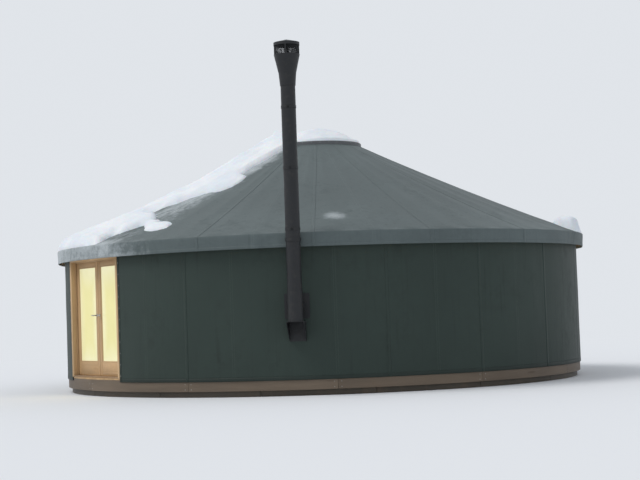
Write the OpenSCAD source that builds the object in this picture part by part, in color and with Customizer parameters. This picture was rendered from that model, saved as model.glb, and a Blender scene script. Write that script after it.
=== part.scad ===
// Round fabric yurt on a low platform, with a glazed double door and a flue that rises outside the wall.
// The floor's centre is over the origin, the ground is at height 0 and the door faces -Y.

/* [Platform] */
// Height of the floor above the ground
platform_h = 300; // [240:10:600]
// Thickness of the floor boards
boards_t = 28; // [18:1:45]
// Height of the platform's foot, which stands back under its edge
foot_h = 90; // [40:5:120]
// Distance that the foot stands back
foot_inset = 60; // [20:5:150]

/* [Wall] */
// Radius over the wall's cover
wall_r = 4570; // [4000:10:4800]
// Height of the wall above the floor
wall_h = 2100; // [2050:10:2500]
// Thickness of the wall's cover, with its felt and liner
cover_t = 20; // [12:1:50]
// Depth that the wall's cover laps over the platform's edge
skirt_drop = 60; // [20:5:100]

/* [Lattice] */
// Number of slats in each layer of the lattice
slat_count = 58; // [50:2:66]
// Number of steps between crossings that one slat takes
slat_steps = 8; // [7:1:9]
// Width of a slat
slat_w = 38; // [28:1:46]
// Thickness of a slat
slat_t = 14; // [10:1:20]
// Diameter of the tension cable that lies on the lattice
cable_d = 12; // [8:1:20]

/* [Roof] */
// Distance of the eave past the wall
eave_overhang = 120; // [90:5:200]
// Slope of the roof at the eave, as rise over run
eave_slope = 0.40; // [0.36:0.01:0.48]
// Slope of the roof at the crown, as rise over run
crown_slope = 0.50; // [0.48:0.01:0.65]
// Thickness of the roof's cover, measured upright
roof_t = 16; // [10:1:40]
// Depth of the hem that hangs from the eave
hem_drop = 205; // [120:5:240]
// Thickness of the hem
hem_t = 12; // [8:1:20]
// Number of rafters
rafter_count = 48; // [40:8:56]
// Width of a rafter
rafter_w = 38; // [30:1:50]
// Depth of a rafter, measured upright
rafter_d = 96; // [80:1:130]
// Depth cut off under a rafter's tail
tail_cut = 40; // [10:5:60]

/* [Crown] */
// Outer radius of the crown ring
crown_r = 760; // [650:10:900]
// Width of the crown ring
ring_w = 110; // [80:5:150]
// Height of the crown ring above the roof's cover
ring_upstand = 30; // [20:5:60]
// Depth of the crown ring below the rafters
ring_lip = 20; // [5:5:40]
// Thickness of the flashing round the skylight
flashing_t = 12; // [6:1:20]
// Height of the skylight dome
dome_h = 230; // [200:10:450]
// Thickness of the skylight dome
dome_t = 8; // [6:1:16]

/* [Door] */
// Width of one door leaf
leaf_w = 872; // [800:1:900]
// Height of one door leaf
leaf_h = 1890; // [1750:10:1900]
// Thickness of one door leaf
leaf_t = 45; // [38:1:55]
// Gap at the leaf's hinge side and head
leaf_gap = 5; // [5:1:8]
// Gap between the two leaves
middle_gap = 6; // [5:1:10]
// Gap under a leaf
floor_gap = 8; // [6:1:15]
// Width of a stile, and of a leaf's top rail
stile_w = 96; // [80:1:130]
// Height of a leaf's bottom rail
bottom_rail_h = 220; // [150:5:300]
// Thickness of a pane
pane_t = 20; // [12:1:24]
// Depth of a pane in its leaf
pane_seat = 12; // [8:1:16]
// Width of a jamb
jamb_w = 60; // [45:1:80]
// Depth of the door's frame
frame_d = 140; // [120:5:180]
// Height of the sill
sill_h = 25; // [20:1:40]
// Reach of the stop past the jamb
stop_reach = 15; // [10:1:20]
// Width of the slope on a leaf's edges round its pane
leaf_flare = 8; // [3:1:10]
// Fall of the sill towards its front
sill_fall = 8; // [2:1:12]
// Thickness of the stop
stop_t = 15; // [10:1:20]

/* [Hinges and levers] */
// Radius of a hinge's knuckle
knuckle_r = 7; // [6:0.5:9]
// Height of one knuckle
knuckle_h = 45; // [35:1:60]
// Radius of a hinge's pin
pin_r = 4; // [3:0.5:5]
// Clearance of the pin in its knuckle
pin_clear = 0.08; // [0.05:0.01:0.1]
// Width of a hinge's plate, from its pin
plate_w = 45; // [35:1:50]
// Thickness of a hinge's plate
plate_t = 2.5; // [2:0.5:4]
// Height of the levers above the floor
lever_z = 1020; // [900:10:1100]
// Length of a lever
lever_len = 120; // [90:5:140]

/* [Flue] */
// Wanted direction of the flue round the wall from the door, in degrees
flue_turn = 52; // [40:1:60]
// Wanted height of the flue's way through the wall, above the floor
flue_exit = 1100; // [900:10:1500]
// Outer radius of the insulated pipe
pipe_r = 110; // [100:1:120]
// Radius of the pipe's bore
flue_r = 77; // [65:1:85]
// Radius of the branch behind the socket
branch_r = 70; // [60:1:76]
// Radius of the socket for the stove's own pipe
socket_r = 80; // [78:1:90]
// Depth of the socket
socket_l = 120; // [80:5:150]
// Distance between the pipe and the eave
pipe_standoff = 50; // [30:5:120]
// Height of the flue's top above the ground
flue_top = 5340; // [4800:10:6000]
// Length of one pipe section
section_l = 914; // [600:1:1200]
// Radius of the flue's cap
cap_r = 195; // [150:1:220]
// Height of the cap's flare
flare_h = 470; // [300:10:600]
// Depth of the rim of the cap's lid
lid_rim = 45; // [10:5:60]

/* [Hidden] */
$fn = 96;
// Facets of the wide circles
round_fn = 256;
// Clearance between pieces that rest on each other
seat = 0.3;
// Overlap of a cutting shape
over = 1;

wall_green = "#22332b";
roof_grey = "#8d9a95";
timber = "#c39a63";
pale_timber = "#d9b98a";
steel = "#9aa0a3";
black_steel = "#23262a";
clear_glass = "#e8e3b4";

wall_top = platform_h + wall_h;
wall_in = wall_r - cover_t;

// Doorway, with its frame set back so that its front corners lie in the wall's round
opening_half = leaf_w + leaf_gap + middle_gap / 2;
frame_half = opening_half + jamb_w;
frame_front = -sqrt(pow(wall_r, 2) - pow(frame_half, 2));
frame_back = frame_front + frame_d;
leaf_front = frame_back - leaf_t;
leaf_z = platform_h + sill_h + floor_gap;
head_z = leaf_z + leaf_h + leaf_gap;
pin_y = frame_back + knuckle_r + 0.5;
pin_x = opening_half - leaf_gap / 2;

// Wall segments, the first and last of which end at the doorway
wall_segments = 8;
door_turn = asin(frame_half / wall_r);
segment_turn = 360 / wall_segments;
seam_turn = asin(seat / wall_r);
cut_turn = 3;

// Lattice: each layer's slats turn by step_turn as they rise by step_h, so they cross at every step
step_turn = 180 / slat_count;
step_h = wall_h / slat_steps;
outer_slat_r = wall_in - seat - slat_t;
inner_slat_r = outer_slat_r - seat - slat_t;
slat_slope = atan(step_h / (inner_slat_r * step_turn * PI / 180));
slat_run = slat_w / sin(slat_slope);
door_steps = ceil(asin((frame_half + slat_run / 2) / inner_slat_r) / step_turn);

// Roof: its height at some radii, which every layer of the roof follows
cable_r = outer_slat_r;
eave_r = wall_r + eave_overhang;
roof_steps = 6;
roof_bend = (crown_slope - eave_slope) / (2 * (eave_r - crown_r));
tail_slope = eave_slope + roof_bend * (eave_r - cable_r);
rafter_seat = wall_top + 2 * seat + tail_slope * slat_t;
function rise(r) = eave_slope * (eave_r - r) + roof_bend * pow(eave_r - r, 2);
roof_radii = concat([eave_r], [for (i = [0 : roof_steps]) cable_r - i * (cable_r - crown_r) / roof_steps]);
roof_points = [for (r = roof_radii) [r, rafter_seat + rafter_d + seat + roof_t + rise(r) - rise(cable_r)]];
function roof_z(r) = lookup(r, roof_points);
function rafter_top(r) = roof_z(r) - roof_t - seat;
function rafter_under(r) = rafter_top(r) - rafter_d;
tail_r = eave_r - hem_t - 8;
tail_len = 90;
notch_half = cable_d / 2 + 1;
notch_top = wall_top + cable_d + seat;
cover_top = min(wall_top, rafter_under(wall_r) - seat);
hem_bottom = roof_z(eave_r) - roof_t - hem_drop;
roof_segments = 8;

// Crown
ring_top = roof_z(crown_r) + ring_upstand;
ring_bottom = roof_z(crown_r) - roof_t - rafter_d - ring_lip;
flashing_r = crown_r + 45;
flashing_in = crown_r - ring_w;
dome_base = ring_top + flashing_t;
dome_r = crown_r - 50;
dome_rim = 24;

// Flue, led through the middle of a diamond of the lattice
flue_steps = round(flue_turn / step_turn);
flue_azimuth = flue_steps * step_turn;
odd_level = 1 - flue_steps % 2;
flue_level = 2 * round((flue_exit / step_h - odd_level) / 2) + odd_level;
flue_z = platform_h + flue_level * step_h;
flue_y = -(eave_r + pipe_standoff + pipe_r);
sleeve_r = pipe_r + 28;
sleeve_t = 8;
plate_half = sleeve_r + 52;
plate_metal = 6;
bracket_half = 130;
bracket_h = 300;
inner_end = -(inner_slat_r - 80);
tee_r = pipe_r + 8;
tee_half = 230;
cap_base = flue_top - flare_h - 230;

// Turns its children's -Y side to an azimuth, counted from the door
module at_azimuth(turn) rotate([0, 0, turn]) children();

// Turns a profile of radius and height round the yurt's axis, from one azimuth to another
module ring_part(from, to) rotate([0, 0, from - 90]) rotate_extrude(angle = to - from, $fn = round_fn) children();

module ring(inner, outer, bottom, top)
    rotate_extrude($fn = round_fn) translate([inner, bottom]) square([outer - inner, top - bottom]);

module block(low, high) translate(low) cube(high - low);

// A cylinder from the yurt's axis out through the wall, along -Y
module radial_bar(radius, from, to, z)
    translate([0, from, z]) rotate([90, 0, 0]) cylinder(r = radius, h = from - to);

// Platform
module platform() color(timber) {
    difference() {
        cylinder(r = wall_in - seat, h = platform_h - boards_t, $fn = round_fn);
        ring(wall_in - foot_inset, wall_r + over, -over, foot_h);
    }
}

module floor_boards() color(pale_timber) translate([0, 0, platform_h - boards_t])
    cylinder(r = wall_in - seat, h = boards_t, $fn = round_fn);

// Wall
module doorway_cut()
    block([-frame_half, -wall_r - over, 0], [frame_half, 0, wall_top + over]);

module wall_cover(i) color(wall_green) {
    from = i == 1 ? door_turn - cut_turn : (i - 1) * segment_turn;
    to = i == wall_segments ? 360 - door_turn + cut_turn : i * segment_turn - seam_turn;
    difference() {
        ring_part(from, to) translate([wall_in, platform_h - skirt_drop])
            square([cover_t, cover_top - platform_h + skirt_drop]);
        doorway_cut();
        at_azimuth(flue_azimuth) radial_bar(sleeve_r, -wall_in + 200, -wall_r - 100, flue_z);
    }
}

// One slat, from one step of its rise to another, with its foot at a number of steps round from the door
module slat(foot, from, to, radius)
    translate([0, 0, platform_h + from * step_h]) rotate([0, 0, (foot + from) * step_turn - 90])
        linear_extrude(height = (to - from) * step_h, twist = -(to - from) * step_turn, slices = to - from, segments = 4)
            translate([radius, -slat_run / 2]) square([slat_t, slat_run]);

// One layer of slats, each cut short where it meets the doorway
module slat_layer(radius)
    for (foot = [-slat_count : 2 : slat_count - 2]) {
        over_door = abs(foot) < door_steps;
        from = over_door ? door_steps - foot : 0;
        to = foot <= -door_steps ? min(slat_steps, -door_steps - foot) : slat_steps;
        if (to > from) slat(foot, from, to, radius);
    }

module lattice_outer() color(pale_timber) slat_layer(outer_slat_r);

module lattice_inner() color(pale_timber) mirror([1, 0, 0]) slat_layer(inner_slat_r);

module tension_cable() color(steel)
    rotate_extrude($fn = round_fn) translate([cable_r, wall_top + cable_d / 2]) circle(d = cable_d, $fn = 24);

// Roof
module rafter(turn) {
    inner_radii = concat([for (i = [2 : roof_steps]) roof_radii[i]], [crown_r + seat]);
    top = [for (r = concat([tail_r, cable_r], inner_radii)) [r, rafter_top(r)]];
    underside = [for (i = [len(inner_radii) - 1 : -1 : 0]) [inner_radii[i], rafter_under(inner_radii[i])]];
    inside = cable_r - notch_half;
    outside = cable_r + notch_half;
    notch = [[inside, rafter_under(inside)], [inside, notch_top],
             [outside, notch_top], [outside, rafter_under(outside)]];
    tail = [[tail_r - tail_len, rafter_under(tail_r - tail_len)], [tail_r, rafter_under(tail_r) + tail_cut]];
    rotate([0, 0, turn - 90]) rotate([90, 0, 0])
        linear_extrude(rafter_w, center = true) polygon(concat(top, underside, notch, tail));
}

// A quarter of the rafters, round from the azimuth where it begins
module rafters(quarter) color(pale_timber) {
    spacing = 360 / rafter_count;
    each_quarter = rafter_count / 4;
    first = quarter * each_quarter - floor(each_quarter / 2);
    for (i = [first : first + each_quarter - 1]) rafter(i * spacing);
}

module roof_cover(i) color(roof_grey) {
    turn = 360 / roof_segments;
    inner = [for (k = [len(roof_points) - 1 : -1 : 1]) roof_points[k] - [0, roof_t]];
    hem_r = eave_r - hem_t;
    hem = [[hem_r, roof_z(hem_r) - roof_t], [hem_r, hem_bottom], [eave_r, hem_bottom]];
    ring_part((i - 1.5) * turn, (i - 0.5) * turn - seam_turn) polygon(concat(roof_points, inner, hem));
}

module crown_ring() color(timber) ring(crown_r - ring_w, crown_r, ring_bottom, ring_top);

module skylight_flashing() color(steel) {
    skirt = [for (r = [crown_r, flashing_r]) [r, roof_z(r) + seat]];
    rotate_extrude($fn = round_fn) polygon(concat(
        [[flashing_in, ring_top], [crown_r, ring_top]], skirt,
        [[flashing_r, ring_top], [flashing_r - flashing_t, dome_base], [flashing_in, dome_base]]
    ));
}

module skylight_dome() color(clear_glass) {
    ball_r = (pow(dome_r, 2) + pow(dome_h, 2)) / (2 * dome_h);
    intersection() {
        translate([0, 0, dome_base + dome_h - ball_r]) difference() {
            sphere(r = ball_r, $fn = round_fn);
            sphere(r = ball_r - dome_t, $fn = round_fn);
        }
        translate([0, 0, dome_base]) cylinder(r = dome_r + over, h = dome_h + over, $fn = round_fn);
    }
    ring(dome_r - dome_t, dome_r + dome_rim, dome_base, dome_base + dome_t);
}

// Door frame
module jamb() {
    block([-frame_half, frame_front, platform_h], [-opening_half, frame_back, head_z]);
    block([-opening_half - over, leaf_front - leaf_gap - stop_t, platform_h + sill_h],
          [-opening_half + stop_reach, leaf_front - leaf_gap, head_z]);
}

module left_jamb() color(pale_timber) jamb();

module right_jamb() color(pale_timber) mirror([1, 0, 0]) jamb();

module door_lintel() color(pale_timber) {
    block([-frame_half, frame_front, head_z], [frame_half, frame_back, wall_top]);
    block([-opening_half + stop_reach, leaf_front - leaf_gap - stop_t, head_z - stop_reach],
          [opening_half - stop_reach, leaf_front - leaf_gap, head_z + over]);
}

module door_sill() color(timber) {
    top = platform_h + sill_h;
    translate([-opening_half, 0, 0]) rotate([90, 0, 90]) linear_extrude(2 * opening_half)
        polygon([[frame_front, platform_h], [frame_back, platform_h], [frame_back, top],
                 [leaf_front - leaf_gap - stop_t, top], [frame_front, top - sill_fall]]);
}

// Hinges: the lower knuckle and the pin are on the frame, the upper knuckle is on the leaf
hinge_heights = [leaf_z + 180, leaf_z + leaf_h / 2, leaf_z + leaf_h - 180];

module frame_hinge(z) {
    translate([-pin_x, pin_y, z - knuckle_h]) {
        cylinder(r = knuckle_r, h = knuckle_h);
        cylinder(r = pin_r, h = 2 * knuckle_h - 5);
        block([-plate_w, frame_back - pin_y, 0], [-knuckle_r, frame_back - pin_y + plate_t, 2 * knuckle_h]);
        block([-knuckle_r - over, frame_back - pin_y, 0], [0, frame_back - pin_y + plate_t, knuckle_h]);
    }
}

module leaf_hinge(z) {
    translate([-pin_x, pin_y, z]) {
        difference() {
            translate([0, 0, seat]) cylinder(r = knuckle_r, h = knuckle_h);
            translate([0, 0, -over]) cylinder(r = pin_r + pin_clear, h = knuckle_h);
        }
        difference() {
            block([0, frame_back - pin_y, seat], [knuckle_r + over, frame_back - pin_y + plate_t, knuckle_h]);
            translate([0, 0, -over]) cylinder(r = pin_r + pin_clear, h = knuckle_h);
        }
        block([knuckle_r, frame_back - pin_y, -knuckle_h], [plate_w, frame_back - pin_y + plate_t, knuckle_h]);
    }
}

module frame_hinges() color(steel)
    for (z = hinge_heights) {
        frame_hinge(z);
        mirror([1, 0, 0]) frame_hinge(z);
    }

// The outline that an opening from one side to the other cuts through a leaf, wider at both faces
function flared(from, to) = [
    [from - leaf_flare - over, leaf_front - over], [from, leaf_front + leaf_flare],
    [from, frame_back - leaf_flare], [from - leaf_flare - over, frame_back + over],
    [to + leaf_flare + over, frame_back + over], [to, frame_back - leaf_flare],
    [to, leaf_front + leaf_flare], [to + leaf_flare + over, leaf_front - over]
];

// Door leaves, built for the left side
module leaf_solid() {
    low = [-opening_half + leaf_gap, leaf_front, leaf_z];
    high = [-middle_gap / 2, frame_back, leaf_z + leaf_h];
    difference() {
        block(low, high);
        intersection() {
            translate([0, 0, leaf_z]) linear_extrude(leaf_h) polygon(flared(low.x + stile_w, high.x - stile_w));
            translate([low.x, 0, 0]) rotate([90, 0, 90]) linear_extrude(leaf_w)
                polygon([for (p = flared(low.z + bottom_rail_h, high.z - stile_w)) [p.y, p.x]]);
        }
        pane_solid();
    }
}

module pane_solid() {
    middle = (leaf_front + frame_back) / 2;
    block([-opening_half + leaf_gap + stile_w - pane_seat, middle - pane_t / 2,
           leaf_z + bottom_rail_h - pane_seat],
          [-middle_gap / 2 - stile_w + pane_seat, middle + pane_t / 2, leaf_z + leaf_h - stile_w + pane_seat]);
}

// A lever on both faces of a leaf, near its free edge
module lever_set() {
    x = -middle_gap / 2 - stile_w / 2;
    z = platform_h + lever_z;
    for (side = [-1, 1]) {
        face = side < 0 ? leaf_front : frame_back;
        translate([x, face, z]) rotate([-90 * side, 0, 0]) {
            cylinder(r = 24, h = 8);
            cylinder(r = 10, h = 55);
        }
        translate([x, face + side * 50, z]) rotate([0, -90, 0]) cylinder(r = 9, h = lever_len);
    }
}

module fittings() {
    for (z = hinge_heights) leaf_hinge(z);
    lever_set();
}

module left_door() color(pale_timber) leaf_solid();

module right_door() color(pale_timber) mirror([1, 0, 0]) leaf_solid();

module left_pane() color(clear_glass) pane_solid();

module right_pane() color(clear_glass) mirror([1, 0, 0]) pane_solid();

module left_fittings() color(steel) fittings();

module right_fittings() color(steel) mirror([1, 0, 0]) fittings();

// Flue, built for azimuth 0
module flue_thimble() color(steel) at_azimuth(flue_azimuth) {
    inside = inner_end - 20;
    outside = -wall_r - 30;
    difference() {
        union() {
            block([-plate_half, -wall_r - seat - plate_metal, flue_z - plate_half],
                  [plate_half, -wall_r - seat, flue_z + plate_half]);
            radial_bar(sleeve_r, inside, outside, flue_z);
            radial_bar(sleeve_r + 34, inside, inside - plate_metal, flue_z);
        }
        radial_bar(sleeve_r - sleeve_t, inside - sleeve_t, outside + sleeve_t, flue_z);
        radial_bar(pipe_r + seat, 0, flue_y, flue_z);
    }
}

module flue_bracket() color(steel) at_azimuth(flue_azimuth) {
    shelf = flue_z - tee_half;
    back = -wall_r - seat;
    front = flue_y - tee_r - 10;
    block([-bracket_half, front, shelf - plate_metal], [bracket_half, back, shelf]);
    block([-bracket_half, back - plate_metal, shelf - bracket_h], [bracket_half, back, shelf]);
    for (x = [-bracket_half, bracket_half - plate_metal]) translate([x, 0, 0]) rotate([90, 0, 90])
        linear_extrude(plate_metal)
            polygon([[back, shelf - bracket_h], [back, shelf], [front, shelf], [front, shelf - 30]]);
}

module flue_tee() color(steel) at_azimuth(flue_azimuth)
    difference() {
        union() {
            translate([0, flue_y, flue_z - tee_half]) cylinder(r = tee_r, h = 2 * tee_half);
            radial_bar(pipe_r, inner_end, flue_y, flue_z);
        }
        radial_bar(branch_r, inner_end + over, flue_y, flue_z);
        radial_bar(socket_r, inner_end + over, inner_end - socket_l, flue_z);
        translate([0, flue_y, flue_z - 120]) cylinder(r = flue_r, h = 2 * tee_half);
    }

module flue_pipe() color(steel) at_azimuth(flue_azimuth) {
    foot = flue_z + tee_half;
    length = cap_base - foot;
    translate([0, flue_y, foot]) difference() {
        union() {
            cylinder(r = pipe_r, h = length);
            for (z = [section_l : section_l : length - 100]) translate([0, 0, z - 20]) cylinder(r = pipe_r + 5, h = 40);
        }
        translate([0, 0, -over]) cylinder(r = flue_r, h = length + 2 * over);
    }
}

module flue_stay() color(steel) at_azimuth(flue_azimuth) {
    z = hem_bottom + hem_drop / 2;
    difference() {
        union() {
            translate([0, flue_y, z - 25]) cylinder(r = pipe_r + 12, h = 50);
            block([-30, flue_y + pipe_r, z - 20], [30, -eave_r - seat, z + 20]);
            block([-90, -eave_r - seat - plate_metal, z - 45], [90, -eave_r - seat, z + 45]);
        }
        translate([0, flue_y, 0]) cylinder(r = pipe_r + seat, h = 2 * wall_top);
    }
}

module flue_cap() color(black_steel) at_azimuth(flue_azimuth) {
    flare_top = cap_base + flare_h;
    translate([0, flue_y, 0]) {
        rotate_extrude() polygon([
            [pipe_r, cap_base], [pipe_r + 6, cap_base], [pipe_r + 22, cap_base + flare_h * 0.4], [cap_r, flare_top],
            [cap_r - 6, flare_top], [pipe_r + 16, cap_base + flare_h * 0.4], [pipe_r, cap_base + 40]
        ]);
        rotate_extrude() polygon([
            [0, flue_top - 30], [cap_r - 6, flue_top - 60], [cap_r - 6, flue_top - 50 - lid_rim],
            [cap_r, flue_top - 50 - lid_rim], [cap_r, flue_top - 50], [0, flue_top]
        ]);
        for (turn = [0 : 90 : 270]) rotate([0, 0, turn])
            block([cap_r - 14, -10, flare_top - 8], [cap_r - 5, 10, flue_top - 55]);
    }
}

platform();
floor_boards();
wall_cover(1);  // wall_cover_1
wall_cover(2);  // wall_cover_2
wall_cover(3);  // wall_cover_3
wall_cover(4);  // wall_cover_4
wall_cover(5);  // wall_cover_5
wall_cover(6);  // wall_cover_6
wall_cover(7);  // wall_cover_7
wall_cover(8);  // wall_cover_8
lattice_outer();
lattice_inner();
tension_cable();
rafters(0);  // rafters_front
rafters(1);  // rafters_right
rafters(2);  // rafters_back
rafters(3);  // rafters_left
roof_cover(1);  // roof_cover_1
roof_cover(2);  // roof_cover_2
roof_cover(3);  // roof_cover_3
roof_cover(4);  // roof_cover_4
roof_cover(5);  // roof_cover_5
roof_cover(6);  // roof_cover_6
roof_cover(7);  // roof_cover_7
roof_cover(8);  // roof_cover_8
crown_ring();
skylight_flashing();
skylight_dome();
left_jamb();
right_jamb();
door_lintel();
door_sill();
frame_hinges();
left_door();
right_door();
left_pane();
right_pane();
left_fittings();
right_fittings();
flue_thimble();
flue_bracket();
flue_tee();
flue_pipe();
flue_stay();
flue_cap();
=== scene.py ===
import random
from functools import reduce
from math import asin, atan2, cos, degrees, hypot, pi, radians, sin, sqrt

import bmesh
import bpy
from mathutils import Matrix, Vector, noise


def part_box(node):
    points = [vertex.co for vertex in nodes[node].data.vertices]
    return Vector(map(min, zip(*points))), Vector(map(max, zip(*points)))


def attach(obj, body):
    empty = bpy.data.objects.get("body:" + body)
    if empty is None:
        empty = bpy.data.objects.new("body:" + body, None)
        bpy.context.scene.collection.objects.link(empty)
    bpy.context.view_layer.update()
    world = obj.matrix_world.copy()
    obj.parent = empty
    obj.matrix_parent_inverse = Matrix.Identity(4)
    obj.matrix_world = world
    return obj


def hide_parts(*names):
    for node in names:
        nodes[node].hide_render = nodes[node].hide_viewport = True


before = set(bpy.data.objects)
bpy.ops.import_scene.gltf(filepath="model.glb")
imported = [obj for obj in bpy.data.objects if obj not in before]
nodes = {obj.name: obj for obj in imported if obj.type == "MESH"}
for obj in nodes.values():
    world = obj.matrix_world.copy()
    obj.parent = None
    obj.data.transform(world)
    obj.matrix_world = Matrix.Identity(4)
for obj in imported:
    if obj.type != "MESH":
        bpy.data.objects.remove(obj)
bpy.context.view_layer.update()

dice = random.Random(11)


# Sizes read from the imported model

def lowest(node):
    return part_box(node)[0]


def highest(node):
    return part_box(node)[1]


def outer_profile(node, above, inner_drop=0.008):
    """Radius and height along a turned node's outer face, without the points of its inner face, well below."""
    tops = {}
    for vertex in nodes[node].data.vertices:
        radius = round(hypot(vertex.co.x, vertex.co.y), 3)
        tops[radius] = max(tops.get(radius, 0), vertex.co.z)
    points = sorted(point for point in tops.items() if point[1] > above)
    kept = [points[0]]
    for (r0, z0), (r, z), (r1, z1) in zip(points, points[1:], points[2:]):
        if z > z0 + (z1 - z0) * (r - r0) / (r1 - r0) - inner_drop:
            kept.append((r, z))
    return kept + [points[-1]]


def extent(node):
    """The heights of a node's lowest and highest points, and how far it reaches to the right."""
    low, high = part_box(node)
    return low.z, high.z, high.x


floor_low, floor_top, floor_r = extent("floor_boards")
wall_low, wall_high, wall_r = extent("wall_cover_2")
hem_low, _, eave_r = extent("roof_cover_3")
roof_line = outer_profile("roof_cover_3", above=2.43)
_, ring_high, ring_r = extent("crown_ring")
dome_low, dome_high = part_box("skylight_dome")
flange_wide = 0.024
dome_rim = dome_high.x - flange_wide
frame_front = lowest("door_lintel").y
frame_half, frame_back, frame_top = highest("door_lintel")
door_turn = asin(frame_half / (wall_r - 0.02))
flue_low, flue_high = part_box("flue_pipe")
flue_x, flue_y = (flue_low.x + flue_high.x) / 2, (flue_low.y + flue_high.y) / 2
flue_turn = atan2(flue_x, -flue_y)
flue_level = (lowest("flue_thimble").z + highest("flue_thimble").z) / 2
rafter_turn = radians(7.5)
wall_seam_count, roof_seam_count = 18, 16
slat_count, slat_levels, slat_rise = 58, 8, 2.1
slat_pitch, slat_lean = 0.4918, 0.9368
ply_thick = 0.0122
stop_front, stop_back = -4.3973, -4.3823


def smooth(value, low, high):
    share = min(max((value - low) / (high - low), 0), 1)
    return share * share * (3 - 2 * share)


def span(value, low, high, soft):
    """1 between two bounds and 0 outside them, with soft ends."""
    return smooth(value, low - soft, low + soft) * (1 - smooth(value, high - soft, high + soft))


def at(turn, radius, z):
    """A point at an angle round the yurt from its door."""
    return Vector((radius * sin(turn), -radius * cos(turn), z))


def round_way(turn, radius):
    """The way round the yurt at an angle, as a vector of a given length, whose tip is where noise is read."""
    return Vector((cos(turn), sin(turn), 0)) * radius


def turns(count, start=0.5):
    """The angles of things that stand evenly round the yurt, the first a share of one step from the door."""
    return [2 * pi * (number + start) / count for number in range(count)]


def roof_z(radius):
    for (r0, z0), (r1, z1) in zip(roof_line, roof_line[1:]):
        if radius <= r1:
            return z0 + (z1 - z0) * (radius - r0) / (r1 - r0)
    return roof_line[-1][1]


def rough(point, size, seed=0.0):
    """Soft noise from -1 to 1 with lumps of about the given size in metres."""
    return noise.noise(point / size + Vector((seed, seed * 1.7, -seed)))


# Shader building

def fill(node, values):
    """Links or sets inputs of a node."""
    for socket, value in values.items():
        if isinstance(value, bpy.types.NodeSocket):
            node.id_data.links.new(value, node.inputs[socket])
        else:
            node.inputs[socket].default_value = value
    return node


def put(kind, values=None, tree=None, **settings):
    """Adds a node to the tree of the sockets that feed it, or to a given tree."""
    values = values or {}
    tree = tree or next(value.id_data for value in values.values() if isinstance(value, bpy.types.NodeSocket))
    node = tree.nodes.new("ShaderNode" + kind)
    for name, value in settings.items():
        setattr(node, name, value)
    return fill(node, values)


def calc(operation, *values, clamp=False):
    return put("Math", dict(enumerate(values)), operation=operation, use_clamp=clamp).outputs[0]


def add(*values, clamp=False):
    return reduce(lambda first, second: calc("ADD", first, second, clamp=clamp), values)


def mul(*values):
    return reduce(lambda first, second: calc("MULTIPLY", first, second), values)


def sub(first, second):
    return calc("SUBTRACT", first, second)


def spread(value, low, high, to_low=0.0, to_high=1.0):
    """Maps one range softly to another."""
    return put("MapRange", {"Value": value, "From Min": low, "From Max": high, "To Min": to_low,
                            "To Max": to_high}, interpolation_type="SMOOTHSTEP").outputs[0]


def mix_colors(share, first, second):
    return put("Mix", {0: share, 6: first, 7: second}, data_type="RGBA").outputs[2]


def cloud(vector, scale, detail=3.0, roughness=0.55, distortion=0.0):
    return put("TexNoise", {"Vector": vector, "Scale": scale, "Detail": detail, "Roughness": roughness,
                            "Distortion": distortion}).outputs["Fac"]


def scaled(vector, scale, turn=(0, 0, 0)):
    return put("Mapping", {"Vector": vector, "Rotation": turn, "Scale": scale}).outputs[0]


def split(vector):
    return put("SeparateXYZ", {0: vector}).outputs


def combine(x, y, z):
    return put("CombineXYZ", {0: x, 1: y, 2: z}).outputs[0]


def own_value(number):
    """A value of its own for each whole number."""
    return put("TexWhiteNoise", {"W": number}, noise_dimensions="1D").outputs["Value"]


def use(group, values):
    return put("Group", values, node_tree=group).outputs


def make_group(name, build, **inputs):
    """A node group with a vector and these inputs, whose outputs are what build() gives."""
    tree = bpy.data.node_groups.new(name, "ShaderNodeTree")
    tree.interface.new_socket("Vector", in_out="INPUT", socket_type="NodeSocketVector")
    for label, value in inputs.items():
        kind = "NodeSocketColor" if isinstance(value, tuple) else "NodeSocketFloat"
        tree.interface.new_socket(label, in_out="INPUT", socket_type=kind).default_value = value
    made = build(tree.nodes.new("NodeGroupInput").outputs)
    for label in made:
        kind = "NodeSocketColor" if label == "Color" else "NodeSocketFloat"
        tree.interface.new_socket(label, in_out="OUTPUT", socket_type=kind)
    fill(tree.nodes.new("NodeGroupOutput"), made)
    return tree


def place_round(given):
    """Where a point lies round the yurt: its angle from the door, arc, radius and height."""
    x, y, height = split(given["Vector"])
    turn = calc("ARCTAN2", x, mul(y, -1.0))
    radius = put("VectorMath", {0: combine(x, y, 0.0)}, operation="LENGTH").outputs["Value"]
    return {"Turn": turn, "Arc": mul(turn, radius), "Radius": radius, "Height": height}


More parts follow.
